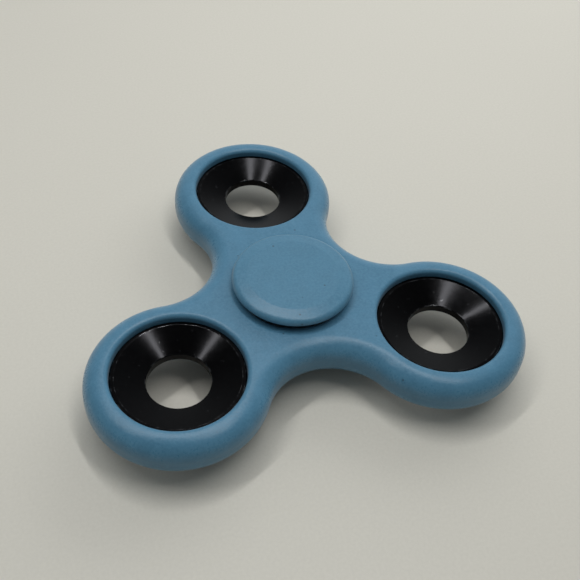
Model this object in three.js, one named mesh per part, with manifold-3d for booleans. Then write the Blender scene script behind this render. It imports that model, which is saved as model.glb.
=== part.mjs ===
// A three-armed fidget spinner: a moulded body with a ball bearing in its middle, three dished
// counterweights in its arms, and two finger caps pressed into the bearing's inner race.
// Millimetres. The spin axis is +Z, the lower cap's flat face is z = 0, arm 1 points along +Y.
import * as THREE from 'three';
import { mergeVertices } from 'three/addons/utils/BufferGeometryUtils.js';
import Module from 'manifold-3d';

const wasm = await Module();
wasm.setup();

// Driving dimensions
const ARMS = 3;
const ARM_LENGTH = 26.4;            // spin axis to the middle of a counterweight
const LOBE_RADIUS = 15.2;           // round end of an arm
const WAIST_RADIUS = 15.0;          // spin axis to the hollow between two arms
const BODY_THICKNESS = 7.4;
const BODY_EDGE_RADIUS = 3.2;       // nearly a full round all the way along the rim
const BORE_LIP_RADIUS = 0.8;        // rounded mouth of a counterweight bore
const HUB_LIP_RADIUS = 9.75;        // plastic turned in over the bearing's edge
const HUB_LIP_FACE_RADIUS = 10.25;  // where the lip starts to slope down from the face
const HUB_LIP_EDGE = 0.03;          // height of the lip's thin inner edge
const PRESS_GAP = 0.05;             // drawn room between two pieces that are pressed together
const FACE_GAP = 0.03;              // drawn room between two faces that touch

const BEARING_RADIUS = 11;          // 608 size: 22 x 8 x 7 mm
const BEARING_BORE_RADIUS = 4;
const BEARING_WIDTH = 7;
const BALLS = 7;
const BALL_RADIUS = 3.969 / 2;
const PITCH_RADIUS = 7.5;
const GROOVE_RADIUS = 2.1;
const INNER_SHOULDER_RADIUS = 6.05;
const OUTER_SHOULDER_RADIUS = 8.95;
const RACE_CHAMFER = 0.3;
const SEAT_RADIUS = 9.6;            // step in the outer race that holds a shield
const SEAT_DEPTH = 0.8;
const SHIELD_THICKNESS = 0.25;
const SHIELD_SINK = 0.35;           // shield's web below the race's face
const SHIELD_RIM_WIDTH = 0.5;
const SHIELD_INNER_RADIUS = 6.35;

const CAGE_THICKNESS = 0.4;
const CAGE_POCKET_RADIUS = 2.1;
const CAGE_HALF_WIDTH = 0.75;
const RIVET_RADIUS = 0.3;
const RIVET_HEAD_RADIUS = 0.55;
const RIVET_HEAD_HEIGHT = 0.28;
const RIVET_DOME_RADIUS = 0.44;     // where the head's side turns over into its top
const RIVET_DOME_HEIGHT = 0.2;

const WEIGHT_THICKNESS = 4.8;
const WEIGHT_CHAMFER = 0.25;
const WEIGHT_RIM_INNER_RADIUS = 10.2;
const THROAT_RADIUS = 5.3;
const THROAT_LENGTH = 1.4;

const CAP_RADIUS = 10.6;
const CAP_RISE = 2.8;               // cap's flat face above the body's face
const CAP_RIM_GAP = 1.35;           // cap's lower edge above the body's face
const CAP_FLAT_RADIUS = 8;
const CAP_SLOPE_DROP = 0.263;       // fall of the face to the top of the corner's full round
const CAP_CORNER_RADIUS = 1.1;
const CAP_CORNER_SWEEP = 82;        // degrees of the corner, from the side to the bevel
const CAP_UNDERCUT = 0.35;          // hollow under the cap, inside its rim
const CAP_RIM_WIDTH = 1.1;
const CAP_SHOULDER_RADIUS = 5.3;    // the shoulder rests on the inner race only
const STEM_RADIUS = 3.75;
const STEM_BORE_RADIUS = 2.3;
const STEM_END_CLEARANCE = 0.2;     // each stem's end stops this far from the middle plane
const STEM_LEAD = 0.45;             // plain end of a stem below its ribs
const STEM_RIBS = 6;
const STEM_RIB_RADIUS = 0.3;

const ROUND_SEGMENTS = 36;
const RIVET_SEGMENTS = 8;
const LOBE_CURVE_SEGMENTS = 11;
const EDGE_SEGMENTS = 5;
const CORNER_STEPS = 3;
const GROOVE_STEPS = 5;
const CUT_MARGIN = 1;               // how far a cutting shape runs past what it cuts

const MIDDLE_HEIGHT = CAP_RISE + BODY_THICKNESS / 2;

const spinner = new THREE.Group();
const middlePlane = new THREE.Group();
middlePlane.position.z = MIDDLE_HEIGHT;
spinner.add(middlePlane);

// Materials
const plastic = { color: 0x527d95, roughness: 0.48, metalness: 0 };
const blackPlating = { color: 0x111214, roughness: 0.16, metalness: 1 };
const bearingSteel = { color: 0xa9adb1, roughness: 0.2, metalness: 1 };
const ballSteel = { color: 0xc4c7ca, roughness: 0.06, metalness: 1 };
const sheetSteel = { color: 0x9a9c9e, roughness: 0.34, metalness: 1 };

function addMesh(parent, name, geometry, finish) {
  const mesh = new THREE.Mesh(geometry, new THREE.MeshStandardMaterial(finish));
  mesh.name = name;
  parent.add(mesh);
  return mesh;
}

// Solid modelling helpers
function toSolid(geometry) {
  const bare = geometry.clone();
  bare.deleteAttribute('normal');
  bare.deleteAttribute('uv');
  const merged = mergeVertices(bare, 1e-4);
  return new wasm.Manifold(new wasm.Mesh({
    numProp: 3,
    vertProperties: new Float32Array(merged.attributes.position.array),
    triVerts: new Uint32Array(merged.index.array),
  }));
}

function toGeometry(solid) {
  const mesh = solid.getMesh();
  const geometry = new THREE.BufferGeometry();
  const positions = new THREE.BufferAttribute(new Float32Array(mesh.vertProperties), 3);
  geometry.setAttribute('position', positions);
  geometry.setIndex(new THREE.BufferAttribute(new Uint32Array(mesh.triVerts), 1));
  geometry.computeVertexNormals();
  return geometry;
}

// A solid of revolution about +Z. The outline runs anticlockwise in (radius, height).
function turned(outline, segments = ROUND_SEGMENTS) {
  const closed = outline[0].x === 0 ? outline : [...outline, outline[0]];
  return new THREE.LatheGeometry(closed, segments).rotateX(Math.PI / 2);
}

const at = (radius, height) => new THREE.Vector2(radius, height);

// Points of an arc, from one angle in degrees to another, both ends included.
function arc(centreRadius, centreHeight, radius, fromDegrees, toDegrees, steps) {
  return Array.from({ length: steps + 1 }, (_, step) => {
    const angle = THREE.MathUtils.degToRad(
      THREE.MathUtils.lerp(fromDegrees, toDegrees, step / steps));
    return at(centreRadius + radius * Math.cos(angle), centreHeight + radius * Math.sin(angle));
  });
}

const mirrored = (points) => points.map((point) => at(point.x, -point.y)).reverse();

function around(count, index, radius) {
  const angle = Math.PI / 2 + (2 * Math.PI * index) / count;
  return new THREE.Vector3(radius * Math.cos(angle), radius * Math.sin(angle), 0);
}

// Body: three round lobes joined by hollow waists, one rounded edge all the way round
function bodyOutline(inset) {
  const arcRadius = (ARM_LENGTH ** 2 + WAIST_RADIUS ** 2 - ARM_LENGTH * WAIST_RADIUS
    - LOBE_RADIUS ** 2) / (2 * LOBE_RADIUS + ARM_LENGTH - 2 * WAIST_RADIUS);
  const hollowReach = WAIST_RADIUS + arcRadius;
  const halfPitch = Math.PI / ARMS;
  const across = hollowReach * Math.sin(halfPitch);
  const along = hollowReach * Math.cos(halfPitch) - ARM_LENGTH;
  const tangent = Math.atan2(across, along);
  const shape = new THREE.Shape();
  for (let arm = 0; arm < ARMS; arm += 1) {
    const armAngle = Math.PI / 2 + 2 * halfPitch * arm;
    const lobe = around(ARMS, arm, ARM_LENGTH);
    const hollowAngle = armAngle + halfPitch;
    const hollow = at(hollowReach * Math.cos(hollowAngle), hollowReach * Math.sin(hollowAngle));
    shape.absarc(lobe.x, lobe.y, LOBE_RADIUS - inset, armAngle - tangent, armAngle + tangent);
    const start = armAngle + tangent - Math.PI;
    const end = start - 2 * (tangent - halfPitch);
    shape.absarc(hollow.x, hollow.y, arcRadius + inset, start, end, true);
  }
  return shape;
}

function boreCutter(radius, lipRadius) {
  const top = BODY_THICKNESS / 2;
  const lip = arc(radius + lipRadius, top - lipRadius, lipRadius, 180, 90, CORNER_STEPS);
  const above = [at(radius + lipRadius, top + CUT_MARGIN), at(0, top + CUT_MARGIN)];
  return turned([...mirrored([...lip, ...above]), ...lip, ...above]);
}

function hubBoreCutter() {
  const radius = BEARING_RADIUS + PRESS_GAP;
  const top = BODY_THICKNESS / 2;
  const lip = BEARING_WIDTH / 2 + FACE_GAP;
  const upper = [at(radius, lip), at(HUB_LIP_RADIUS, lip), at(HUB_LIP_RADIUS, lip + HUB_LIP_EDGE),
    at(HUB_LIP_FACE_RADIUS, top), at(HUB_LIP_FACE_RADIUS, top + CUT_MARGIN),
    at(0, top + CUT_MARGIN)];
  return turned([...mirrored(upper), ...upper]);
}

function addBody() {
  const blank = new THREE.ExtrudeGeometry(bodyOutline(BODY_EDGE_RADIUS), {
    depth: BODY_THICKNESS - 2 * BODY_EDGE_RADIUS,
    curveSegments: LOBE_CURVE_SEGMENTS,
    bevelThickness: BODY_EDGE_RADIUS,
    bevelSize: BODY_EDGE_RADIUS,
    bevelSegments: EDGE_SEGMENTS,
  });
  blank.translate(0, 0, BODY_EDGE_RADIUS - BODY_THICKNESS / 2);
  let solid = toSolid(blank).subtract(toSolid(hubBoreCutter()));
  for (let arm = 0; arm < ARMS; arm += 1) {
    const cutter = boreCutter(BEARING_RADIUS + PRESS_GAP, BORE_LIP_RADIUS);
    cutter.translate(...around(ARMS, arm, ARM_LENGTH));
    solid = solid.subtract(toSolid(cutter));
  }
  addMesh(middlePlane, 'spinner_body', toGeometry(solid), plastic);
}

// Counterweights: steel rings, dished on both faces down to a short round throat
function addCounterweights() {
  const top = WEIGHT_THICKNESS / 2;
  const face = [at(BEARING_RADIUS, top - WEIGHT_CHAMFER), at(BEARING_RADIUS - WEIGHT_CHAMFER, top),
    at(WEIGHT_RIM_INNER_RADIUS, top), at(THROAT_RADIUS, THROAT_LENGTH / 2)];
  const outline = [...mirrored(face), ...face];
  for (let arm = 0; arm < ARMS; arm += 1) {
    const weight = addMesh(middlePlane, `counterweight_${arm + 1}`, turned(outline), blackPlating);
    weight.position.copy(around(ARMS, arm, ARM_LENGTH));
  }
}

// Ball bearing, 608 size
function addRaces() {
  const top = BEARING_WIDTH / 2;
  const outerGroove = THREE.MathUtils.radToDeg(
    Math.acos((OUTER_SHOULDER_RADIUS - PITCH_RADIUS) / GROOVE_RADIUS));
  const outerUpper = [at(BEARING_RADIUS, top - RACE_CHAMFER), at(BEARING_RADIUS - RACE_CHAMFER, top),
    at(SEAT_RADIUS, top), at(SEAT_RADIUS, top - SEAT_DEPTH),
    at(OUTER_SHOULDER_RADIUS, top - SEAT_DEPTH)];
  const outerRun = arc(PITCH_RADIUS, 0, GROOVE_RADIUS, outerGroove, -outerGroove, GROOVE_STEPS);
  const outerOutline = [...outerUpper, ...outerRun, ...mirrored(outerUpper)];
  addMesh(middlePlane, 'bearing_outer_race', turned(outerOutline), bearingSteel);

  const innerGroove = THREE.MathUtils.radToDeg(
    Math.acos((PITCH_RADIUS - INNER_SHOULDER_RADIUS) / GROOVE_RADIUS));
  const innerUpper = [at(INNER_SHOULDER_RADIUS, top), at(BEARING_BORE_RADIUS + RACE_CHAMFER, top),
    at(BEARING_BORE_RADIUS, top - RACE_CHAMFER)];
  const innerRun = arc(PITCH_RADIUS, 0, GROOVE_RADIUS, 180 + innerGroove, 180 - innerGroove,
    GROOVE_STEPS);
  const innerOutline = [...innerRun, ...innerUpper, ...mirrored(innerUpper)];
  addMesh(middlePlane, 'bearing_inner_race', turned(innerOutline), bearingSteel);
}

function addBalls() {
  const ballGeometry = new THREE.IcosahedronGeometry(BALL_RADIUS, 2);
  for (let ball = 0; ball < BALLS; ball += 1) {
    const mesh = addMesh(middlePlane, `ball_${ball + 1}`, ballGeometry, ballSteel);
    mesh.position.copy(around(BALLS, ball, PITCH_RADIUS));
  }
}

// One half of the cage: a flat ribbon that bulges over each ball, with a rivet hole in each land
function cageHalf() {
  const outerPocket = CAGE_POCKET_RADIUS + CAGE_THICKNESS;
  const inside = PITCH_RADIUS - CAGE_HALF_WIDTH;
  const outside = PITCH_RADIUS + CAGE_HALF_WIDTH;
  const ring = toSolid(turned([at(inside, FACE_GAP / 2), at(outside, FACE_GAP / 2),
    at(outside, outerPocket), at(inside, outerPocket)]));
  let lands = toSolid(turned([at(inside - CUT_MARGIN, 0), at(outside + CUT_MARGIN, 0),
    at(outside + CUT_MARGIN, CAGE_THICKNESS), at(inside - CUT_MARGIN, CAGE_THICKNESS)]));
  const length = 2 * (CAGE_HALF_WIDTH + CUT_MARGIN);
  for (const [radius, cuts] of [[outerPocket, false], [CAGE_POCKET_RADIUS, true]]) {
    for (let ball = 0; ball < BALLS; ball += 1) {
      const place = around(BALLS, ball, PITCH_RADIUS);
      const pocket = new THREE.CylinderGeometry(radius, radius, length, 2 * RIVET_SEGMENTS);
      pocket.rotateZ(Math.atan2(place.y, place.x) - Math.PI / 2);
      pocket.translate(...place);
      lands = cuts ? lands.subtract(toSolid(pocket)) : lands.add(toSolid(pocket));
    }
  }
  let half = ring.intersect(lands);
  for (let rivet = 0; rivet < BALLS; rivet += 1) {
    const holeRadius = RIVET_RADIUS + PRESS_GAP;
    const hole = new THREE.CylinderGeometry(holeRadius, holeRadius, 2 * outerPocket, RIVET_SEGMENTS);
    hole.rotateX(Math.PI / 2);
    hole.translate(...around(BALLS, rivet + 0.5, PITCH_RADIUS));
    half = half.subtract(toSolid(hole));
  }
  return toGeometry(half);
}

function addCage() {
  const half = cageHalf();
  addMesh(middlePlane, 'cage_upper_half', half, sheetSteel);
  const lower = addMesh(middlePlane, 'cage_lower_half', half, sheetSteel);
  lower.rotation.y = Math.PI;

  const seat = CAGE_THICKNESS + FACE_GAP;
  const upper = [at(RIVET_RADIUS, seat), at(RIVET_HEAD_RADIUS, seat),
    at(RIVET_DOME_RADIUS, seat + RIVET_DOME_HEIGHT), at(0, seat + RIVET_HEAD_HEIGHT)];
  const rivetGeometry = turned([...mirrored(upper), ...upper], RIVET_SEGMENTS);
  for (let rivet = 0; rivet < BALLS; rivet += 1) {
    const mesh = addMesh(middlePlane, `cage_rivet_${rivet + 1}`, rivetGeometry, sheetSteel);
    mesh.position.copy(around(BALLS, rivet + 0.5, PITCH_RADIUS));
  }
}

// Shields: thin pressed discs whose turned-in rim is crimped into the outer race's step
function shieldGeometry() {
  const face = BEARING_WIDTH / 2;
  const web = face - SHIELD_SINK;
  const rim = face - SEAT_DEPTH + FACE_GAP;
  const outside = SEAT_RADIUS - PRESS_GAP;
  const wall = outside - SHIELD_RIM_WIDTH;
  const webBottom = web - SHIELD_THICKNESS;
  return turned([at(outside, rim), at(outside, web), at(SHIELD_INNER_RADIUS, web),
    at(SHIELD_INNER_RADIUS, webBottom), at(wall, webBottom), at(wall, rim)]);
}

function addShields() {
  const shield = shieldGeometry();
  addMesh(middlePlane, 'upper_shield', shield, sheetSteel);
  addMesh(middlePlane, 'lower_shield', shield, sheetSteel).rotation.x = Math.PI;
}

// Finger caps: a bevelled button, a shoulder on the inner race, a hollow ribbed stem in its bore
function capGeometry() {
  const face = BODY_THICKNESS / 2 + CAP_RISE;
  const rimBottom = BODY_THICKNESS / 2 + CAP_RIM_GAP;
  const shoulder = BEARING_WIDTH / 2 + FACE_GAP;
  const rimInside = CAP_RADIUS - CAP_RIM_WIDTH;
  const corner = arc(CAP_RADIUS - CAP_CORNER_RADIUS, face - CAP_SLOPE_DROP - CAP_CORNER_RADIUS,
    CAP_CORNER_RADIUS, 0, CAP_CORNER_SWEEP, EDGE_SEGMENTS);
  const outline = [at(0, shoulder), at(STEM_BORE_RADIUS, shoulder),
    at(STEM_BORE_RADIUS, STEM_END_CLEARANCE), at(STEM_RADIUS, STEM_END_CLEARANCE),
    at(STEM_RADIUS, shoulder), at(CAP_SHOULDER_RADIUS, shoulder),
    at(CAP_SHOULDER_RADIUS, rimBottom + CAP_UNDERCUT), at(rimInside, rimBottom + CAP_UNDERCUT),
    at(rimInside, rimBottom), at(CAP_RADIUS, rimBottom), ...corner,
    at(CAP_FLAT_RADIUS, face), at(0, face)];
  let solid = toSolid(turned(outline));
  const ribTop = BEARING_WIDTH / 2;
  const ribBottom = STEM_END_CLEARANCE + STEM_LEAD;
  const ribReach = BEARING_BORE_RADIUS - PRESS_GAP - STEM_RIB_RADIUS;
  for (let rib = 0; rib < STEM_RIBS; rib += 1) {
    const bar = new THREE.CylinderGeometry(STEM_RIB_RADIUS, STEM_RIB_RADIUS, ribTop - ribBottom,
      RIVET_SEGMENTS);
    bar.rotateX(Math.PI / 2);
    bar.translate(0, 0, (ribTop + ribBottom) / 2);
    bar.translate(...around(STEM_RIBS, rib, ribReach));
    solid = solid.add(toSolid(bar));
  }
  return toGeometry(solid);
}

function addCaps() {
  const cap = capGeometry();
  addMesh(middlePlane, 'upper_finger_cap', cap, plastic);
  addMesh(middlePlane, 'lower_finger_cap', cap, plastic).rotation.x = Math.PI;
}

addBody();
addCounterweights();
addRaces();
addBalls();
addCage();
addShields();
addCaps();

export default spinner;
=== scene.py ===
# %% [markdown]
# # A three-armed fidget spinner
# The real thing is three kinds of work in one small object: a body and two finger caps moulded
# in satin plastic, three turned steel counterweights with a black plated finish, and a ball
# bearing in the middle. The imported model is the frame: it says where each part is and how it
# moves. This script makes the surfaces that the eye meets, and each rides on its own body.

# %% Load the frame
import math

import bpy
import numpy as np
from mathutils import Matrix
from mathutils import Vector
from mathutils.geometry import delaunay_2d_cdt


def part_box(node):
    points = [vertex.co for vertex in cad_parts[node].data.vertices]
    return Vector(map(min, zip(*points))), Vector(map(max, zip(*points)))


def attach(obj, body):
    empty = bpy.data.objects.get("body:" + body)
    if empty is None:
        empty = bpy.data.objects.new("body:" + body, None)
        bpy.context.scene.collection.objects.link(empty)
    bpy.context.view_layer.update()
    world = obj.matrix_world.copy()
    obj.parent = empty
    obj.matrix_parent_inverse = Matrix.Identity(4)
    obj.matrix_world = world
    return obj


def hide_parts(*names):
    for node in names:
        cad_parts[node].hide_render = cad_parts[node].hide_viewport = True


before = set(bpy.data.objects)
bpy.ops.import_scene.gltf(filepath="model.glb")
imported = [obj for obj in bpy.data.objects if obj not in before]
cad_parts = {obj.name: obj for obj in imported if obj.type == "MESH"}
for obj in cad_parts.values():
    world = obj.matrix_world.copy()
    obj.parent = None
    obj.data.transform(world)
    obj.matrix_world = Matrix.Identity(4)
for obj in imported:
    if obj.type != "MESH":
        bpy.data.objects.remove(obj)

MM = 0.001
TURN = 2 * math.pi
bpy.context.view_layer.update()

# %% [markdown]
# ## Where things are
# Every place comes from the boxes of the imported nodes. A turned part's box gives its axis, its
# height and its radius, and the arms are found from the counterweights.

# %% Read places and sizes from the frame
def span(node):
    """Lowest and highest corner of a node as arrays, in metres."""
    low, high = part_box(node)
    return np.array(low, dtype=float), np.array(high, dtype=float)


def middle(node):
    """Centre of a node's box."""
    low, high = span(node)
    return (low + high) / 2


def half_size(node):
    """Half the box: a turned part's radius twice, then half its height."""
    low, high = span(node)
    return (high - low) / 2


weights = [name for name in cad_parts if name.startswith("counterweight")]
balls = [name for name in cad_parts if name.startswith("ball")]
rivets = [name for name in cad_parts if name.startswith("cage_rivet")]
hub = middle("bearing_inner_race")
body_high = span("spinner_body")[1]
BODY_HALF = half_size("spinner_body")[2]
weight_radius, WEIGHT_HALF = half_size(weights[0])[[0, 2]]
bearing_radius, BEARING_HALF = half_size("bearing_outer_race")[[0, 2]]
arm_vectors = [(middle(name) - hub)[:2] for name in weights]
arm_length = float(np.linalg.norm(arm_vectors[0]))
lobe_radius = float(body_high[1] - middle(weights[0])[1])
print("arm", round(arm_length / MM, 2), "mm, lobe radius", round(lobe_radius / MM, 2), "mm")

# %% [markdown]
# ## The camera
# The view is a hand-held one from above and a little to the left, rolled a few degrees. Azimuth
# and elevation place it on a sphere about a point near the middle of the spinner's upper face,
# and the roll turns it about its own line of sight.

# %% Set the camera
CAMERA_AZIMUTH = math.radians(-21.08)
CAMERA_ELEVATION = math.radians(48.11)
CAMERA_ROLL = math.radians(-5.91)
CAMERA_DISTANCE = 144.5 * MM
CAMERA_AIM = Vector((-0.72 * MM, -1.09 * MM, body_high[2]))
CAMERA_LENS = 51.58

away = Vector((math.sin(CAMERA_AZIMUTH) * math.cos(CAMERA_ELEVATION),
               -math.cos(CAMERA_AZIMUTH) * math.cos(CAMERA_ELEVATION),
               math.sin(CAMERA_ELEVATION)))
level_right = Vector((math.cos(CAMERA_AZIMUTH), math.sin(CAMERA_AZIMUTH), 0))
level_up = away.cross(level_right)
camera_right = math.cos(CAMERA_ROLL) * level_right - math.sin(CAMERA_ROLL) * level_up
camera_up = math.sin(CAMERA_ROLL) * level_right + math.cos(CAMERA_ROLL) * level_up

camera = bpy.data.objects.new("camera", bpy.data.cameras.new("camera"))
bpy.context.scene.collection.objects.link(camera)
camera_axes = Matrix((camera_right, camera_up, away)).transposed().to_4x4()
camera.matrix_world = Matrix.Translation(CAMERA_AIM + CAMERA_DISTANCE * away) @ camera_axes
camera.data.lens = CAMERA_LENS
camera.data.clip_start = MM
bpy.context.scene.camera = camera
print("camera stands", np.round(np.array(camera.matrix_world.translation) / MM, 1), "mm")

# %% [markdown]
# ## Profiles with soft corners
# Nearly every part of a spinner is turned or moulded, so nearly every surface is a profile
# carried round an axis or along an outline. Real edges are never quite sharp. A bevel modifier
# could soften them afterwards, but a profile that already has true arcs at its corners also
# tells which way the surface faces at each point. Those directions become the mesh's normals,
# so a broad flat beside a tiny edge still looks flat.

# %% Round the corners of a profile
def rounded(corners, radii, closed=True, steps=6):
    """Points and outward directions of a profile whose corners are arcs.

    Corners run anticlockwise, with the material on the left. Between unit directions a and b
    that turn by t, the arc starts r * tan(|t| / 2) before the corner, and at heading h its point
    is start + r * (sin(h) * a + (1 - cos(h)) * n), with n square to a on the inner side. The
    outward direction is the heading turned a quarter turn clockwise."""
    corners = np.asarray(corners, dtype=float)
    radii = np.broadcast_to(np.asarray(radii, dtype=float), len(corners))
    into = corners - np.roll(corners, 1, axis=0)
    length = np.linalg.norm(into, axis=1)
    a = into / length[:, None]
    b = np.roll(a, -1, axis=0)
    if not closed:
        a[0], b[-1] = b[0], a[-1]
    turn = np.arctan2(a[:, 0] * b[:, 1] - a[:, 1] * b[:, 0], (a * b).sum(axis=1))
    slope = np.tan(np.abs(turn) / 2)
    room = 0.5 * np.minimum(length, np.roll(length, -1))
    reach = np.minimum(radii * slope, room)
    radius = reach / np.maximum(slope, 1e-9)
    heading = np.abs(turn)[:, None] * np.linspace(0, 1, steps + 1)
    sine, cosine = np.sin(heading)[..., None], np.cos(heading)[..., None]
    n = (np.sign(turn)[:, None] * np.stack([-a[:, 1], a[:, 0]], axis=1))[:, None]
    a = a[:, None]
    start = corners[:, None] - a * reach[:, None, None]
    points = start + radius[:, None, None] * (sine * a + (1 - cosine) * n)
    along = cosine * a + sine * n
    outward = np.stack([along[..., 1], -along[..., 0]], axis=-1)
    points, outward = points.reshape(-1, 2), outward.reshape(-1, 2)
    if closed:
        return points, outward
    return points[steps:len(points) - steps], outward[steps:len(points) - steps]


def mirrored(corners):
    """A half profile after its mirror image below height 0, still anticlockwise."""
    corners = np.asarray(corners, dtype=float)
    return np.concatenate([corners[::-1] * (1, -1), corners])


def arc(centre, radius, from_degrees, to_degrees, count):
    """Corners on an arc about centre, in millimetres like the rest of a profile."""
    angle = np.radians(np.linspace(from_degrees, to_degrees, count))
    return np.asarray(centre) + radius * np.stack([np.cos(angle), np.sin(angle)], axis=1)

# %% [markdown]
# ## Grids of points
# A grid becomes a mesh with one quad between each four neighbours. Where a profile starts or
# ends on the axis, the row there is a single point with a fan of triangles round it, so poles
# are closed. A number on each point says how exposed it is to rubbing; the wear in the
# materials follows it, and on the caps' plastic it also places a painted highlight line.

# %% Turn grids into meshes
RUB_RADIUS = 0.2                 # a corner this round or sharper is fully exposed, mm
SHORTEST_STEP = 0.001            # mm


def put_in_scene(name, points, faces, normals, rubbed):
    """A smooth mesh object at the origin, with its normals and its rubbing numbers."""
    mesh = bpy.data.meshes.new(name)
    mesh.from_pydata(np.asarray(points).tolist(), [], faces)
    mesh.shade_smooth()
    mesh.normals_split_custom_set_from_vertices(np.asarray(normals).tolist())
    attribute = mesh.attributes.new("rubbed", "FLOAT", "POINT")
    attribute.data.foreach_set("value", np.asarray(rubbed, dtype=np.float32))
    piece = bpy.data.objects.new(name, mesh)
    bpy.context.scene.collection.objects.link(piece)
    print(name, len(points), "points,", len(faces), "faces")
    return piece


def grid_quads(rows, columns, close_rows, first=0):
    """Quads of a grid closed along its columns, and along its rows if asked.

    Each quad goes along the columns, then along the rows. That faces outwards when columns run
    anticlockwise about +Z and rows run anticlockwise round the profile."""
    row = np.arange(rows if close_rows else rows - 1)[:, None]
    column = np.arange(columns)[None, :]
    after, beside = (row + 1) % rows, (column + 1) % columns
    corners = [row * columns + column, row * columns + beside,
               after * columns + beside, after * columns + column]
    return first + np.stack(corners, axis=-1).reshape(-1, 4)


def exposure(points, outward):
    """How far a profile point stands out to be rubbed: up to 1 on a tight convex corner.

    Curvature is the bend between neighbours, the cross product of their outward directions,
    over the distance between them. The smaller curvature of the two sides counts, so it is 0
    where a corner runs out into a flat."""
    onward = np.roll(outward, -1, axis=0)
    bend = outward[:, 0] * onward[:, 1] - outward[:, 1] * onward[:, 0]
    step = np.linalg.norm(np.roll(points, -1, axis=0) - points, axis=1)
    curvature = bend / np.maximum(step, SHORTEST_STEP)
    return np.clip(RUB_RADIUS * np.minimum(curvature, np.roll(curvature, 1)), 0, 1)


def turned(name, profile, centre, columns=144, swell=None, flip=False):
    """A closed solid of revolution about a line through centre, parallel to +Z.

    Point (i, j) is (r_i cos u_j, r_i sin u_j, z_i), with u_j evenly spaced. The profile is in
    millimetres. swell adds to the radius by row and angle. flip turns the part upside down."""
    points, outward = profile
    angle = np.arange(columns) / columns * TURN
    way = np.stack([np.cos(angle), np.sin(angle)], axis=-1)
    radius = points[:, 0, None] + (0 if swell is None else swell(points, outward, angle))
    radius = np.broadcast_to(radius, (len(points), columns))
    height = np.broadcast_to(points[:, 1, None], radius.shape)
    grid = np.concatenate([radius[..., None] * way, height[..., None]], axis=-1)
    lean = outward[:, None, :1] * way[None]
    rise = np.broadcast_to(outward[:, None, 1:], (*radius.shape, 1))
    normals = np.concatenate([lean, rise], axis=-1)
    rubbed = np.broadcast_to(exposure(points, outward)[:, None], radius.shape)
    solid = points[0, 0] < 1e-9
    if not solid:
        faces = grid_quads(len(points), columns, close_rows=True).tolist()
        grid, normals, rubbed = grid.reshape(-1, 3), normals.reshape(-1, 3), rubbed.ravel()
    else:
        inner = slice(1, len(points) - 1)
        rows = len(points) - 2
        faces = grid_quads(rows, columns, close_rows=False, first=1).tolist()
        ring = np.arange(columns)
        beside = (ring + 1) % columns
        top, last_row = rows * columns + 1, (rows - 1) * columns + 1
        low_fan = np.stack([np.zeros_like(ring), 1 + beside, 1 + ring], axis=1)
        high_fan = np.stack([np.full_like(ring, top), last_row + ring, last_row + beside], axis=1)
        faces += low_fan.tolist() + high_fan.tolist()
        ends = np.array([[0, 0, points[0, 1]], [0, 0, points[-1, 1]]])
        grid = np.concatenate([ends[:1], grid[inner].reshape(-1, 3), ends[1:]])
        normals = np.concatenate([[[0, 0, -1]], normals[inner].reshape(-1, 3), [[0, 0, 1]]])
        rubbed = np.concatenate([[0], rubbed[inner].ravel(), [0]])
    if flip:
        grid, normals = grid * (1, -1, -1), normals * (1, -1, -1)
    return put_in_scene(name, grid * MM + np.asarray(centre), faces, normals, rubbed)

# %% [markdown]
# ## The moulded body
# The body is one plastic moulding: three round lobes, hollow waists between them, and a rim that
# is almost a full round. It could be modelled as a box and subdivided, but its outline is only
# six arcs that touch smoothly, and its rim is one quarter round above and one below. So the rim
# is that edge carried along that outline, each of the four bores is a turned surface, and the
# flat faces are filled between their mouths. All of them share their edge points, so the
# moulding is one closed skin.

# %% Work out the body's outline
WAIST_RADIUS = 15.0 * MM         # spin axis to the hollow between two arms
RIM_ROUND = 3.2                  # edge radius of the rim, mm
BORE_LIP = 0.8                   # rounded mouth of a counterweight bore, mm
HUB_LIP_RADIUS = 9.75            # plastic turned in over the bearing's edge, mm
HUB_LIP_FACE_RADIUS = 10.25      # where the lip starts to slope down from the face, mm
LIP_EDGE = 0.03                  # height of the hub lip's thin inner edge, mm
PRESS_ROOM = 0.05                # drawn room between pressed parts, mm
FACE_GAP = 0.03                  # drawn room over a part's flat face, mm
RUN_OUT = 5                      # length of a profile's flat ends, which are cut off, in radii
BORE_COLUMNS = 144
BORE_RUB = 0.6                   # the bores' mouths are rubbed less than the rim


def body_outline(lobe_points=72, waist_points=40):
    """Points and outward directions along the outline, anticlockwise, in metres.

    A waist is a hollow arc that touches both of its lobes. Its radius follows from the arm
    length L, the lobe radius R and the waist distance w:
    (L^2 + w^2 - L w - R^2) / (2 R + L - 2 w)."""
    waist = (arm_length**2 + WAIST_RADIUS**2 - arm_length * WAIST_RADIUS - lobe_radius**2)
    waist /= 2 * lobe_radius + arm_length - 2 * WAIST_RADIUS
    reach = WAIST_RADIUS + waist
    half = TURN / 6
    touch = math.atan2(reach * math.sin(half), reach * math.cos(half) - arm_length)
    points, outward = [], []
    for arm in arm_vectors:
        ahead = math.atan2(arm[1], arm[0])
        sweep = ahead + np.linspace(-touch, touch, lobe_points, endpoint=False)
        way = np.stack([np.cos(sweep), np.sin(sweep)], axis=1)
        points.append(arm + lobe_radius * way)
        outward.append(way)
        hollow = reach * np.array([math.cos(ahead + half), math.sin(ahead + half)])
        back = ahead + touch - math.pi
        sweep = np.linspace(back, back - 2 * (touch - half), waist_points, endpoint=False)
        way = np.stack([np.cos(sweep), np.sin(sweep)], axis=1)
        points.append(hollow + waist * way)
        outward.append(-way)
    return np.concatenate(points), np.concatenate(outward)


outline_points, outline_outward = body_outline()
print("outline", len(outline_points), "points")

# %% Carry the rim along the outline and sink the four bores
def edge_profile(corners, radii, steps):
    """An open profile from one flat face to the other, without its two outermost points."""
    points, outward = rounded(corners, radii, closed=False, steps=steps)
    return points[1:-1], outward[1:-1]


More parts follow.
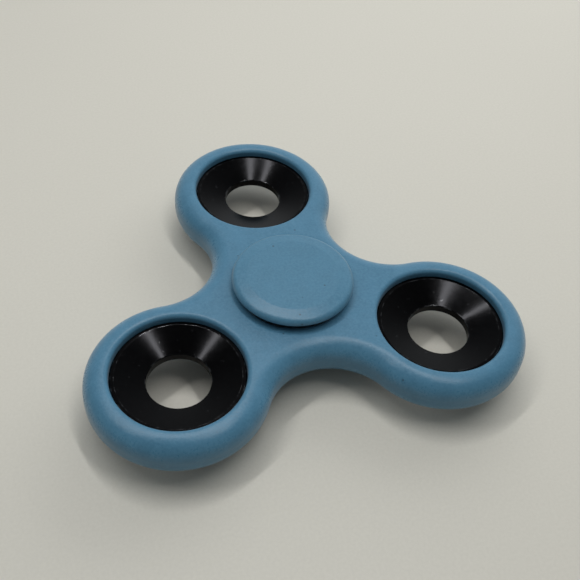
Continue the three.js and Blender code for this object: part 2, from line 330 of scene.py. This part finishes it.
def carried(base, way, profile):
    """The profile carried along a closed path: base + offset * way, and the height."""
    points, outward = profile
    flat = base[None] + points[:, None, :1] * MM * way[None]
    height = np.broadcast_to(points[:, None, 1:] * MM, (*flat.shape[:2], 1))
    lean = outward[:, None, :1] * way[None]
    rise = np.broadcast_to(outward[:, None, 1:], (*flat.shape[:2], 1))
    return np.concatenate([flat, height], axis=-1), np.concatenate([lean, rise], axis=-1)


def ring_path(centre, radius, columns):
    """A circle of points, and the direction away from its centre at each."""
    angle = np.arange(columns) / columns * TURN
    way = np.stack([np.cos(angle), np.sin(angle)], axis=1)
    return centre + radius * way, way


BODY_TOP = BODY_HALF / MM
LIP_UNDER = BEARING_HALF / MM + FACE_GAP
rim = edge_profile([(-RUN_OUT * RIM_ROUND, -BODY_TOP), (0, -BODY_TOP), (0, BODY_TOP),
                    (-RUN_OUT * RIM_ROUND, BODY_TOP)], [0, RIM_ROUND, RIM_ROUND, 0], steps=12)
weight_bore = edge_profile([(RUN_OUT * BORE_LIP, BODY_TOP), (0, BODY_TOP), (0, -BODY_TOP),
                            (RUN_OUT * BORE_LIP, -BODY_TOP)], [0, BORE_LIP, BORE_LIP, 0],
                           steps=8)
lip_edge = HUB_LIP_RADIUS - PRESS_ROOM - bearing_radius / MM
lip_face = HUB_LIP_FACE_RADIUS - PRESS_ROOM - bearing_radius / MM
upper_lip = np.array([(1, BODY_TOP), (lip_face, BODY_TOP), (lip_edge, LIP_UNDER + LIP_EDGE),
                      (lip_edge, LIP_UNDER), (0, LIP_UNDER)])
lip_rounds = [0, 0.15, 0.02, 0.02, 0.02]
hub_bore = edge_profile(np.concatenate([upper_lip, upper_lip[::-1] * (1, -1)]),
                        lip_rounds + lip_rounds[::-1], steps=4)
skins = [carried(outline_points, outline_outward, rim)]
for arm in arm_vectors:
    path = ring_path(arm, weight_radius + PRESS_ROOM * MM, BORE_COLUMNS)
    skins.append(carried(*path, weight_bore))
path = ring_path(np.zeros(2), bearing_radius + PRESS_ROOM * MM, BORE_COLUMNS)
skins.append(carried(*path, hub_bore))
print("skins:", [grid.shape[:2] for grid, outward in skins], "rows and columns")

# %% Fill the two flat faces and close the body
def face_between(loops, points, upward):
    """Triangles of a flat face: inside the first loop of points and outside the others."""
    index_of = np.concatenate(loops)
    first, edges = 0, []
    for loop in loops:
        ring = first + np.arange(len(loop))
        edges += np.stack([ring, np.roll(ring, -1)], axis=1).tolist()
        first += len(loop)
    found = delaunay_2d_cdt(points[index_of, :2].tolist(), edges, [], 1, 1e-9)
    given = np.array(found[3])[:, 0]
    triangles = index_of[given[np.array(found[2])]]
    centres = points[triangles].mean(axis=1)[:, :2]
    keep = np.ones(len(triangles), dtype=bool)
    for loop in loops[1:]:
        hole = points[loop][:, :2]
        hole_centre = hole.mean(axis=0)
        hole_radius = np.linalg.norm(hole[0] - hole_centre)
        clear = hole_radius * math.cos(TURN / (2 * len(loop)))
        keep &= np.linalg.norm(centres - hole_centre, axis=1) > clear
    triangles = triangles[keep]
    a, b, c = (points[triangles[:, k]][:, :2] for k in range(3))
    area = (b - a)[:, 0] * (c - a)[:, 1] - (b - a)[:, 1] * (c - a)[:, 0]
    wrong = area < 0 if upward else area > 0
    triangles[wrong] = triangles[wrong][:, ::-1]
    return triangles


def build_body():
    """All the skins in one mesh, with the flat faces filled between their end rows.

    With s the upward part of a point's direction, 4 s (1 - s) is how far it is rubbed: it is
    greatest halfway round an edge."""
    points, normals, rubbed, faces = [], [], [], []
    top_loops, bottom_loops = [], []
    first = 0
    for number, (grid, outward) in enumerate(skins):
        rows, columns = grid.shape[:2]
        faces += grid_quads(rows, columns, close_rows=False, first=first).tolist()
        low, high = first + np.arange(columns), first + (rows - 1) * columns + np.arange(columns)
        if number:
            low, high = high, low
        bottom_loops.append(low)
        top_loops.append(high)
        points.append(grid.reshape(-1, 3))
        normals.append(outward.reshape(-1, 3))
        steep = np.abs(outward[..., 2])
        rubbed.append((4 * steep * (1 - steep)).ravel() * (BORE_RUB if number else 1.0))
        first += rows * columns
    points = np.concatenate(points)
    faces += face_between(top_loops, points, upward=True).tolist()
    faces += face_between(bottom_loops, points, upward=False).tolist()
    return put_in_scene("moulded_body", points + hub, faces,
                        np.concatenate(normals), np.concatenate(rubbed))


moulded_body = build_body()
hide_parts("spinner_body")
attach(moulded_body, "rotor")

# %% [markdown]
# ## The counterweights
# Each arm holds a steel ring that was turned on a lathe: a narrow flat rim, a wide cone down to
# a short round throat, and the same again below. It is one profile turned about the arm's own
# axis. The small arcs at its edges matter most, because on black polished metal they are the
# only places that catch a thin line of light.

# %% Turn the counterweights
RIM_INNER = 10.25                # inner edge of the flat rim, mm
THROAT_RADIUS = 5.3
THROAT_HALF = 0.7
FINE_COLUMNS = 192               # columns of a turned part that is seen close
weight_top = WEIGHT_HALF / MM
weight_corners = [(weight_radius / MM, weight_top), (RIM_INNER, weight_top),
                  (THROAT_RADIUS, THROAT_HALF)]
weight_rounds = np.array([0.3, 0.14, 0.22])
weight_profile = rounded(mirrored(weight_corners),
                         np.concatenate([weight_rounds[::-1], weight_rounds]), steps=7)
plated_weights = []
for name in weights:
    weight = turned("turned_" + name, weight_profile, middle(name), columns=FINE_COLUMNS)
    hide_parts(name)
    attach(weight, "rotor")
    plated_weights.append(weight)

# %% [markdown]
# ## The finger caps
# A cap is a button that a finger rests on: a flat middle, a wide shallow bevel, a soft corner,
# and a lower edge that hovers just over the body. Under it a shoulder stands on the inner race,
# and a hollow stem with crush ribs is pressed into the race's bore. The ribs are a swelling of
# the turned stem: its radius grows near six angles.

# %% Turn the finger caps
CAP_FLAT_RADIUS = 8.0
CAP_SLOPE_DROP = 0.263           # fall of the face to the top of the corner's full round, mm
CAP_CORNER_RADIUS = 1.1
CAP_CORNER_SWEEP = 82            # degrees of that corner, from the side to the bevel
CAP_LOWER_ROUND = 0.3
CAP_RIM_GAP = 1.35               # the cap's lower edge above the body's face, mm
CAP_UNDERCUT = 0.35
CAP_RIM_WIDTH = 1.1
SHOULDER_RADIUS = 5.3
STEM_RADIUS = 3.75
STEM_BORE_RADIUS = 2.3
RIB_HEIGHT = 0.2
RIBS = 6
RIB_START = 0.6                  # cosine at which a rib rises from the stem
FULL_ROUND = 9.0                 # corner radius too large to fit, so the arc takes all the room
cap_radius = half_size("upper_finger_cap")[0] / MM
cap_low, cap_high = (corner[2] / MM for corner in span("upper_finger_cap") - hub)
shoulder = BEARING_HALF / MM + FACE_GAP
rim_low = BODY_TOP + CAP_RIM_GAP
under = rim_low + CAP_UNDERCUT
cap_corners = [
    (0, shoulder), (STEM_BORE_RADIUS, shoulder), (STEM_BORE_RADIUS, cap_low),
    (STEM_RADIUS, cap_low), (STEM_RADIUS, shoulder), (SHOULDER_RADIUS, shoulder),
    (SHOULDER_RADIUS, under), (cap_radius - CAP_RIM_WIDTH, under),
    (cap_radius - CAP_RIM_WIDTH, rim_low),
    *arc((cap_radius - CAP_LOWER_ROUND, rim_low + CAP_LOWER_ROUND), CAP_LOWER_ROUND, -90, 0, 5),
    *arc((cap_radius - CAP_CORNER_RADIUS, cap_high - CAP_SLOPE_DROP - CAP_CORNER_RADIUS),
         CAP_CORNER_RADIUS, 0, CAP_CORNER_SWEEP, 9),
    (CAP_FLAT_RADIUS, cap_high), (0, cap_high)]
# The 0.25 round at the flat's edge counts as a tight corner, so the plastic's pale edge colour
# paints a highlight line along it.
cap_rounds = [0, 0.3, 0.15, 0.3, 0.15, 0.15, 0.3, 0.2, 0.15, *[FULL_ROUND] * 14, 0.25, 0]


def stem_ribs(points, outward, angle):
    """Adds a smooth rib at six angles, on the stem's outer wall only."""
    on_wall = (np.abs(points[:, 0] - STEM_RADIUS) < 1e-6) & (outward[:, 0] > 0.9)
    across = np.cos(RIBS * angle)
    height = RIB_HEIGHT * np.clip(across - RIB_START, 0, 1) / (1 - RIB_START)
    return on_wall[:, None] * height[None]


cap_profile = rounded(cap_corners, cap_rounds, closed=False, steps=8)
moulded_caps = []
for side in ("upper", "lower"):
    cap = turned(f"moulded_{side}_cap", cap_profile, hub, columns=FINE_COLUMNS,
                 swell=stem_ribs, flip=side == "lower")
    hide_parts(side + "_finger_cap")
    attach(cap, "hub")
    moulded_caps.append(cap)

# %% [markdown]
# ## The ball bearing
# The bearing is nearly out of sight: the caps hide its middle, and a lip of the body covers the
# edge of its outer race. It is what the joints turn. The races are turned rings with a raceway
# groove, the balls are ground spheres, and the shields and the cage are pressed from thin sheet.

# %% Turn the races
PITCH_RADIUS = 7.5
GROOVE_RADIUS = 2.1
OUTER_SHOULDER = 8.95
INNER_SHOULDER = 6.05
SEAT_RADIUS = 9.6
SEAT_DEPTH = 0.8
GROOVE_CORNERS = 6
RACE_BORE_RADIUS = 4.0
RACE_EDGE = 0.3                  # corner radius where a race meets its seat, mm
FINE_EDGE = 0.1
GROOVE_EDGE = 0.08
race_top = BEARING_HALF / MM
groove_reach = math.degrees(math.acos((OUTER_SHOULDER - PITCH_RADIUS) / GROOVE_RADIUS))
groove_start = groove_reach / (2 * GROOVE_CORNERS - 1)
outer_groove = arc((PITCH_RADIUS, 0), GROOVE_RADIUS, groove_reach, groove_start, GROOVE_CORNERS)
outer_corners = np.concatenate([
    [(bearing_radius / MM, race_top), (SEAT_RADIUS, race_top),
     (SEAT_RADIUS, race_top - SEAT_DEPTH), (OUTER_SHOULDER, race_top - SEAT_DEPTH)], outer_groove])
inner_groove = arc((PITCH_RADIUS, 0), GROOVE_RADIUS, 180 - groove_start, 180 - groove_reach,
                   GROOVE_CORNERS)
inner_corners = np.concatenate([
    inner_groove, [(INNER_SHOULDER, race_top), (RACE_BORE_RADIUS, race_top)]])
edge_rounds = np.full(4, FINE_EDGE)
edge_rounds[0] = RACE_EDGE
groove_rounds = np.full(GROOVE_CORNERS - 1, FULL_ROUND)
outer_rounds = np.concatenate([edge_rounds, [GROOVE_EDGE], groove_rounds])
inner_rounds = np.concatenate([groove_rounds, [GROOVE_EDGE, 0.12, RACE_EDGE]])
ground_races = []
for node, corners, rounds, body in (
        ("bearing_outer_race", outer_corners, outer_rounds, "rotor"),
        ("bearing_inner_race", inner_corners, inner_rounds, "hub")):
    profile = rounded(mirrored(corners), np.concatenate([rounds[::-1], rounds]), steps=4)
    race = turned("ground_" + node, profile, hub)
    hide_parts(node)
    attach(race, body)
    ground_races.append(race)

# %% Turn the balls, rivets and shields
SHIELD_INNER = 6.35
SHIELD_SINK = 0.35
SHIELD_SHEET = 0.25
SHIELD_RIM = 0.5
RIVET_RADIUS = 0.3
RIVET_HEAD = 0.55
RIVET_SEAT = 0.43
RIVET_CROWN_RADIUS = 0.43        # where the dome of a head starts to level off, mm
RIVET_CROWN_DROP = 0.08
BALL_DIAMETER = 3.969
BALL_ROWS, BALL_COLUMNS, RIVET_COLUMNS = 25, 48, 20
tilt = np.radians(np.linspace(-90, 90, BALL_ROWS))
ball_outward = np.stack([np.cos(tilt), np.sin(tilt)], axis=1)
ball_outward[[0, -1], 0] = 0
ball_profile = (BALL_DIAMETER / 2 * ball_outward, ball_outward)
bearing_balls = []
for name in balls:
    ball = turned("bearing_" + name, ball_profile, middle(name), columns=BALL_COLUMNS)
    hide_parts(name)
    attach(ball, "bearing_" + name)
    bearing_balls.append(ball)

rivet_top = half_size(rivets[0])[2] / MM
rivet_corners = [(RIVET_RADIUS, RIVET_SEAT), (RIVET_HEAD, RIVET_SEAT),
                 (RIVET_CROWN_RADIUS, rivet_top - RIVET_CROWN_DROP), (0, rivet_top)]
rivet_profile = rounded(mirrored(rivet_corners), [0, 0.2, 0.05, 0.05, 0.05, 0.05, 0.2, 0],
                        closed=False, steps=3)
sheet_pieces = []
for name in rivets:
    rivet = turned("headed_" + name, rivet_profile, middle(name), columns=RIVET_COLUMNS)
    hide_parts(name)
    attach(rivet, "cage")
    sheet_pieces.append(rivet)

web = race_top - SHIELD_SINK
shield_edge = SEAT_RADIUS - PRESS_ROOM
shield_foot = race_top - SEAT_DEPTH + FACE_GAP
shield_corners = [(shield_edge, shield_foot), (shield_edge, web), (SHIELD_INNER, web),
                  (SHIELD_INNER, web - SHIELD_SHEET),
                  (shield_edge - SHIELD_RIM, web - SHIELD_SHEET),
                  (shield_edge - SHIELD_RIM, shield_foot)]
shield_profile = rounded(shield_corners, [0.05, 0.2, 0.08, 0.08, 0.06, 0.05], steps=4)
for side in ("upper", "lower"):
    shield = turned(f"pressed_{side}_shield", shield_profile, hub, flip=side == "lower")
    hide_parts(side + "_shield")
    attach(shield, "rotor")
    sheet_pieces.append(shield)

# %% [markdown]
# ## Materials: one helper for nodes
# A material is a small network of nodes. One function adds a node, sets its settings and joins
# its inputs, and every material below is written with it. Colours are given as sRGB hex values,
# because that is how paint and screens name them, and turned to the linear values light uses.

# %% Helpers for materials
PER_MM = 1000                    # pattern scale for features one millimetre across
SPREAD = (0.3, 0.7)              # nearly all of a noise lies between these
UPPER_SPREAD = (0.35, 0.7)
MIDDLE_SPREAD = (0.35, 0.65)


def linear(hex_colour):
    """sRGB hex to linear RGBA: c / 12.92 near black, ((c + 0.055) / 1.055) ** 2.4 above."""
    srgb = np.array([int(hex_colour[i:i + 2], 16) for i in (1, 3, 5)]) / 255
    light = np.where(srgb <= 0.04045, srgb / 12.92, ((srgb + 0.055) / 1.055) ** 2.4)
    return (*light.tolist(), 1.0)


def add(tree, kind, inputs, out=0, **settings):
    """Adds one node with its settings and links, and gives back one of its outputs.

    Inputs are named in a dictionary or listed in order. Each is a value or another node's
    output."""
    node = tree.nodes.new("ShaderNode" + kind)
    for name, value in settings.items():
        setattr(node, name, value)
    for name, value in inputs.items() if isinstance(inputs, dict) else enumerate(inputs):
        if isinstance(value, bpy.types.NodeSocket):
            tree.links.new(value, node.inputs[name])
        else:
            node.inputs[name].default_value = value
    return None if out is None else node.outputs[out]


def start_material(name):
    """An empty material, its node tree, and the object coordinates its patterns use."""
    material = bpy.data.materials.new(name)
    material.use_nodes = True
    material.node_tree.nodes.clear()
    return material, material.node_tree, add(material.node_tree, "TexCoord", {}, "Object")


def finish_material(material, tree, surface, height, depth_mm):
    """Shades with the named inputs of surface and a bump depth_mm deep, and reports."""
    bump = {"Height": height, "Distance": depth_mm * MM, "Strength": 1.0}
    shader = add(tree, "BsdfPrincipled", {**surface, "Normal": add(tree, "Bump", bump)})
    add(tree, "OutputMaterial", {"Surface": shader}, out=None)
    print("material", material.name, "with", len(tree.nodes), "nodes")
    return material

# %% [markdown]
# ## Moulded ABS, satin blue
# ABS moulded in a spark-eroded tool takes on the tool's fine grain. It gives a matt sheen
# that breaks up, and never a sharp reflection. Handling polishes the edges a little and wears
# them paler, and a few dark specks of regrind show in the colour. On the cap's flat edge the
# paler edge colour is also a painted highlight, a thin bright line. The real grain is about
# 0.05 mm; here it is drawn several times coarser so that it shows at all.

# %% Moulded ABS
GRAIN_MM = 0.42
GRAIN_DEPTH_MM = 0.03
MOTTLE_MM = 2.4
SPECK_MM = 1.5                   # one speck at most in each cell of this size
SPECK_START, SPECK_FULL = 0.955, 0.96   # cells with a lower random number have no speck
SPECK_CORE, SPECK_EDGE = 0.08, 0.16     # a speck's radii, in cells
SPECK_DEPTH = 0.6                # how much of the speck's colour shows at its core
GRAIN_PALENESS = 0.5             # most of the pale colour on the tips of the grain
LEAST_WORN = 0.3                 # wear in the least worn patch of an edge
# paler edges: worn plastic, and a painted highlight line along the cap's flat edge
WEAR_AND_HIGHLIGHT_PALENESS = 0.45
SPECK_COLOUR = "#1d2a33"
ABS_ROUGH_LOW, ABS_ROUGH_HIGH = 0.31, 0.41
ABS_EDGE_POLISH = 0.1            # fall in roughness where it is most rubbed
ABS_INDEX = 1.45
ABS_SHEEN, ABS_SHEEN_ROUGH = 0.12, 0.45   # pale bloom of the fine grain at a glancing view


def moulded_abs(name, colour, pale, dark):
    """Satin ABS with grain, mottling, specks, polished paler edges and a painted edge highlight.
    """
    material, tree, place = start_material(name)
    grain = add(tree, "TexNoise", {"Vector": place, "Scale": PER_MM / GRAIN_MM,
                                   "Detail": 3.0, "Roughness": 0.6})
    mottle = add(tree, "TexNoise", {"Vector": place, "Scale": PER_MM / MOTTLE_MM,
                                    "Detail": 4.0})
    off_speck = add(tree, "TexVoronoi", {"Vector": place, "Scale": PER_MM / SPECK_MM})
    lot = add(tree, "SeparateColor", (off_speck.node.outputs["Color"],))
    chosen = add(tree, "MapRange", (lot, SPECK_START, SPECK_FULL, 0, 1))
    speck = add(tree, "MapRange", (off_speck, SPECK_CORE, SPECK_EDGE, SPECK_DEPTH, 0))
    speck = add(tree, "Math", (speck, chosen), operation="MULTIPLY")
    edges = add(tree, "Attribute", {}, "Fac", attribute_name="rubbed")
    patches = add(tree, "MapRange", (mottle, *MIDDLE_SPREAD, LEAST_WORN, 1))
    worn = add(tree, "Math", (edges, patches), operation="MULTIPLY")
    # pale edge colour: wear, and on the cap's flat edge a painted highlight line
    pale_wear_and_highlight = add(tree, "Math", (worn, WEAR_AND_HIGHLIGHT_PALENESS), operation="MULTIPLY")
    tone = add(tree, "Mix", {0: add(tree, "MapRange", (mottle, *SPREAD, 0, 1)),
                             6: linear(dark), 7: linear(colour)}, 2, data_type="RGBA")
    tone = add(tree, "Mix", {0: add(tree, "MapRange", (grain, *UPPER_SPREAD, 0, GRAIN_PALENESS)),
                             6: tone, 7: linear(pale)}, 2, data_type="RGBA")
    tone = add(tree, "Mix", {0: pale_wear_and_highlight, 6: tone, 7: linear(pale)}, 2, data_type="RGBA")
    tone = add(tree, "Mix", {0: speck, 6: tone, 7: linear(SPECK_COLOUR)}, 2, data_type="RGBA")
    rough = add(tree, "MapRange", (grain, *SPREAD, ABS_ROUGH_LOW, ABS_ROUGH_HIGH))
    polish = add(tree, "Math", (worn, ABS_EDGE_POLISH), operation="MULTIPLY")
    rough = add(tree, "Math", (rough, polish), operation="SUBTRACT")
    surface = {"Base Color": tone, "Roughness": rough, "IOR": ABS_INDEX,
               "Sheen Weight": ABS_SHEEN, "Sheen Roughness": ABS_SHEEN_ROUGH}
    return finish_material(material, tree, surface, grain, GRAIN_DEPTH_MM)


body_abs = moulded_abs("abs_moulded_satin_blue", "#457894", "#5688a4", "#40718c")
cap_abs = moulded_abs("abs_moulded_satin_blue_cap", "#457893", "#5788a3", "#41728c")
moulded_body.data.materials.append(body_abs)
for cap in moulded_caps:
    cap.data.materials.append(cap_abs)

# %% [markdown]
# ## Black plated steel
# The counterweights are free-cutting steel, turned and then plated with black nickel. Plating
# keeps the shine of the metal and takes away nearly all its colour, so the eye sees black with
# soft grey streaks where a lamp is mirrored, and the fine rings left by the tool. The coat is
# thin, so it wears grey at the edges first.

# %% Black plated turned steel
TOOL_MARK_MM = 0.3
TOOL_MARK_DEPTH_MM = 0.003
SMEAR_MM = 1.1
NICK_MM = 0.6
NICK_LOW, NICK_HIGH = 0.7, 0.74  # how much of the noise counts as a nick
PLATING, PLATING_PALE = "#141415", "#171718"
WORN_PLATING, NICKED_PLATING = "#77787a", "#595a5c"
PLATING_ROUGH_LOW, PLATING_ROUGH_HIGH = 0.12, 0.145
NICK_ROUGH = 0.06                # rise in roughness in a nick
NICK_PALENESS = 0.4
WEAR_START, WEAR_FULL = 0.5, 0.6        # the smears between which an edge wears through


def plated_steel(name, centre):
    """Black plated steel with tool marks about its own axis, smears and worn edges."""
    material, tree, place = start_material(name)
    across = add(tree, "Mapping", {"Vector": place, "Location": (-centre[0], -centre[1], 0),
                                   "Scale": (1, 1, 0)})
    radius = add(tree, "VectorMath", (across,), "Value", operation="LENGTH")
    height = add(tree, "SeparateXYZ", (place,), "Z")
    run = add(tree, "Math", (radius, height), operation="ADD")
    marks = add(tree, "TexNoise", {"W": run, "Scale": PER_MM / TOOL_MARK_MM, "Detail": 2.0},
                noise_dimensions="1D")
    smear = add(tree, "TexNoise", {"Vector": place, "Scale": PER_MM / SMEAR_MM,
                                   "Detail": 5.0, "Roughness": 0.65})
    nicks = add(tree, "TexNoise", {"Vector": place, "Scale": PER_MM / NICK_MM, "Detail": 3.0})
    nicks = add(tree, "MapRange", (nicks, NICK_LOW, NICK_HIGH, 0, 1))
    edges = add(tree, "Attribute", {}, "Fac", attribute_name="rubbed")
    patches = add(tree, "MapRange", (smear, WEAR_START, WEAR_FULL, 0.05, 0.9))
    worn = add(tree, "Math", (edges, patches), operation="MULTIPLY")
    tone = add(tree, "Mix", {0: add(tree, "MapRange", (smear, *UPPER_SPREAD, 0, 1)),
                             6: linear(PLATING), 7: linear(PLATING_PALE)}, 2, data_type="RGBA")
    tone = add(tree, "Mix", {0: worn, 6: tone, 7: linear(WORN_PLATING)}, 2, data_type="RGBA")
    tone = add(tree, "Mix", {0: add(tree, "Math", (nicks, NICK_PALENESS), operation="MULTIPLY"),
                             6: tone, 7: linear(NICKED_PLATING)}, 2, data_type="RGBA")
    rough = add(tree, "MapRange", (smear, *SPREAD, PLATING_ROUGH_LOW, PLATING_ROUGH_HIGH))
    nick_rough = add(tree, "Math", (nicks, NICK_ROUGH), operation="MULTIPLY")
    rough = add(tree, "Math", (rough, nick_rough), operation="ADD")
    return finish_material(material, tree, {"Base Color": tone, "Metallic": 1.0,
                                            "Roughness": rough}, marks, TOOL_MARK_DEPTH_MM)


for weight, name in zip(plated_weights, weights):
    weight.data.materials.append(plated_steel("steel_black_plated_" + name[-1], middle(name)))

# %% [markdown]
# ## Bearing steel and pressed sheet
# The races and the balls are hardened chromium steel. A race is ground, so it is bright with
# rings too fine to see apart. A ball is lapped until it mirrors. The cage, rivets and shields
# are cold-rolled strip, duller and slightly uneven from the rolls.

# %% Bearing steels
RUBBED_STEEL = "#d9d9d6"
RUBBED_SHARE = 0.5


def bare_steel(name, bright, dull, rough_low, rough_high, feature_mm, depth_mm):
    """Bare steel: two close greys mixed by a pattern that also varies its roughness."""
    material, tree, place = start_material(name)
    pattern = add(tree, "TexNoise", {"Vector": place, "Scale": PER_MM / feature_mm,
                                     "Detail": 4.0, "Roughness": 0.6})
    edges = add(tree, "Attribute", {}, "Fac", attribute_name="rubbed")
    worn = add(tree, "Math", (edges, RUBBED_SHARE), operation="MULTIPLY")
    tone = add(tree, "Mix", {0: add(tree, "MapRange", (pattern, *SPREAD, 0, 1)),
                             6: linear(dull), 7: linear(bright)}, 2, data_type="RGBA")
    tone = add(tree, "Mix", {0: worn, 6: tone, 7: linear(RUBBED_STEEL)}, 2, data_type="RGBA")
    rough = add(tree, "MapRange", (pattern, *SPREAD, rough_low, rough_high))
    return finish_material(material, tree, {"Base Color": tone, "Metallic": 1.0,
                                            "Roughness": rough}, pattern, depth_mm)


ground_steel = bare_steel("chrome_steel_ground", "#b9b9b6", "#a9a9a6", 0.16, 0.24, 0.6, 0.0004)
lapped_steel = bare_steel("chrome_steel_lapped", "#d0d0ce", "#c2c2c0", 0.05, 0.1, 2.0, 0.0005)
rolled_steel = bare_steel("strip_steel_rolled", "#b7b7b3", "#94948f", 0.3, 0.45, 0.9, 0.004)
for race in ground_races:
    race.data.materials.append(ground_steel)
for ball in bearing_balls:
    ball.data.materials.append(lapped_steel)
for piece in sheet_pieces:
    piece.data.materials.append(rolled_steel)
for node in ("cage_upper_half", "cage_lower_half"):
    for material_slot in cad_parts[node].material_slots:
        material_slot.material = rolled_steel

# %% [markdown]
# ## The floor
# A plain pale painted board. It is a flat sheet well under any scene's needs, and it lies at
# height 0, where the lower cap stands. A little unevenness in its tone and its sheen keeps it
# from looking like a painted background.

# %% Lay the floor
FLOOR_HALF = 1.5
BLOTCH_MM = 60.0
TOOTH_MM = 0.5
TOOTH_DEPTH_MM = 0.01
TOOTH_DARKNESS = 0.5
BOARD_ROUGH_LOW, BOARD_ROUGH_HIGH = 0.5, 0.62
floor_mesh = bpy.data.meshes.new("floor")
floor_corners = np.array([(-1, -1, 0), (1, -1, 0), (1, 1, 0), (-1, 1, 0)]) * FLOOR_HALF
floor_mesh.from_pydata(floor_corners.tolist(), [], [(0, 1, 2, 3)])
floor = bpy.data.objects.new("floor", floor_mesh)
bpy.context.scene.collection.objects.link(floor)


def painted_board(name, colour, pale, dark):
    """Matt paint on a board, blotched a little and with a fine tooth."""
    material, tree, place = start_material(name)
    blotch = add(tree, "TexNoise", {"Vector": place, "Scale": PER_MM / BLOTCH_MM, "Detail": 3.0})
    tooth = add(tree, "TexNoise", {"Vector": place, "Scale": PER_MM / TOOTH_MM, "Detail": 3.0})
    tone = add(tree, "Mix", {0: blotch, 6: linear(colour), 7: linear(pale)}, 2,
               data_type="RGBA")
    tone = add(tree, "Mix", {0: add(tree, "MapRange", (tooth, *SPREAD, 0, TOOTH_DARKNESS)),
                             6: tone, 7: linear(dark)}, 2, data_type="RGBA")
    rough = add(tree, "MapRange", (tooth, *SPREAD, BOARD_ROUGH_LOW, BOARD_ROUGH_HIGH))
    return finish_material(material, tree, {"Base Color": tone, "Roughness": rough},
                           tooth, TOOTH_DEPTH_MM)


floor_mesh.materials.append(painted_board("board_painted_pale", "#cecbc0", "#d2cfc4", "#c8c5ba"))

# %% [markdown]
# ## Light
# Two long lamps hang nearly overhead and lean towards each other as they run away from the
# viewer. Their length makes the shadows soft in that direction, and each leaves one streak on
# every black cone. A broad dim panel stands lower on the far side, like a pale wall. It lights
# the far rims, and the floor fades a little towards the viewer. It is kept out of mirror
# reflections, so the cones stay black. The rest is the room: a dim fill
# that is brighter towards the far side.

# %% Hang the lamps
LAMP_HEIGHT = 0.32
LAMP_BEYOND = 0.11               # this and the next four are shares of the lamps' height
RIGHT_LAMP_ASIDE, RIGHT_LAMP_LEAN = 0.155, -0.75
LEFT_LAMP_ASIDE, LEFT_LAMP_LEAN = -0.395, 0.86
LAMP_WIDTH = 0.018
LAMP_LENGTH = 0.27
LAMP_POWER = 0.34
WALL_ASIDE = 0.13
WALL_BEYOND = 0.28
WALL_HEIGHT = 0.17
WALL_WIDTH, WALL_TALL = 0.4, 0.16
WALL_POWER = 0.42
FILL_COLOUR = (0.93, 0.97, 1.0, 1.0)
FILL_STRENGTH = 0.2
GLOW_STRENGTH = 0.6              # fill towards the far side of the room
GLOW_START = 0.35                # cosine of the angle at which the glow begins
GLOW_RISE = 0.25
far = Vector((-away.x, -away.y, 0)).normalized()
up = Vector((0, 0, 1))


def hang_lamp(name, place, along, towards, size, power):
    """A rectangular lamp at place that faces towards, its longer side running along."""
    lamp = bpy.data.objects.new(name, bpy.data.lights.new(name, "AREA"))
    bpy.context.scene.collection.objects.link(lamp)
    lamp.data.shape = "RECTANGLE"
    lamp.data.size, lamp.data.size_y = size
    lamp.data.energy = power
    along, back = along.normalized(), -towards.normalized()
    axes = Matrix((along.cross(back), along, back)).transposed().to_4x4()
    lamp.matrix_world = Matrix.Translation(place) @ axes
    print(name, "hangs at", np.round(np.array(place), 3), "m with", power, "W")
    return lamp


for name, aside, lean in (("lamp_right", RIGHT_LAMP_ASIDE, RIGHT_LAMP_LEAN),
                          ("lamp_left", LEFT_LAMP_ASIDE, LEFT_LAMP_LEAN)):
    hang_lamp(name, LAMP_HEIGHT * (aside * level_right + LAMP_BEYOND * far + up),
              far + lean * level_right, -up, (LAMP_WIDTH, LAMP_LENGTH), LAMP_POWER)
wall_place = WALL_ASIDE * level_right + WALL_BEYOND * far + WALL_HEIGHT * up
wall_side = wall_place.cross(up)
wall = hang_lamp("pale_wall", wall_place, wall_side, -wall_place, (WALL_TALL, WALL_WIDTH),
                 WALL_POWER)
wall.visible_glossy = False
world = bpy.data.worlds.new("room")
bpy.context.scene.world = world
world.use_nodes = True
world.node_tree.nodes.clear()
direction = add(world.node_tree, "TexCoord", {}, "Generated")
glow_way = tuple(far + GLOW_RISE * up)
facing = add(world.node_tree, "VectorMath", (direction, glow_way), "Value",
             operation="DOT_PRODUCT")
strength = add(world.node_tree, "MapRange",
               (facing, GLOW_START, 1, FILL_STRENGTH, GLOW_STRENGTH))
fill = add(world.node_tree, "Background", {"Color": FILL_COLOUR, "Strength": strength})
add(world.node_tree, "OutputWorld", {"Surface": fill}, out=None)
bpy.context.scene.view_settings.view_transform = "Standard"

# %% [markdown]
# ## Last update
# The view layer is updated once more at the end.

# %% Update the view layer
bpy.context.view_layer.update()
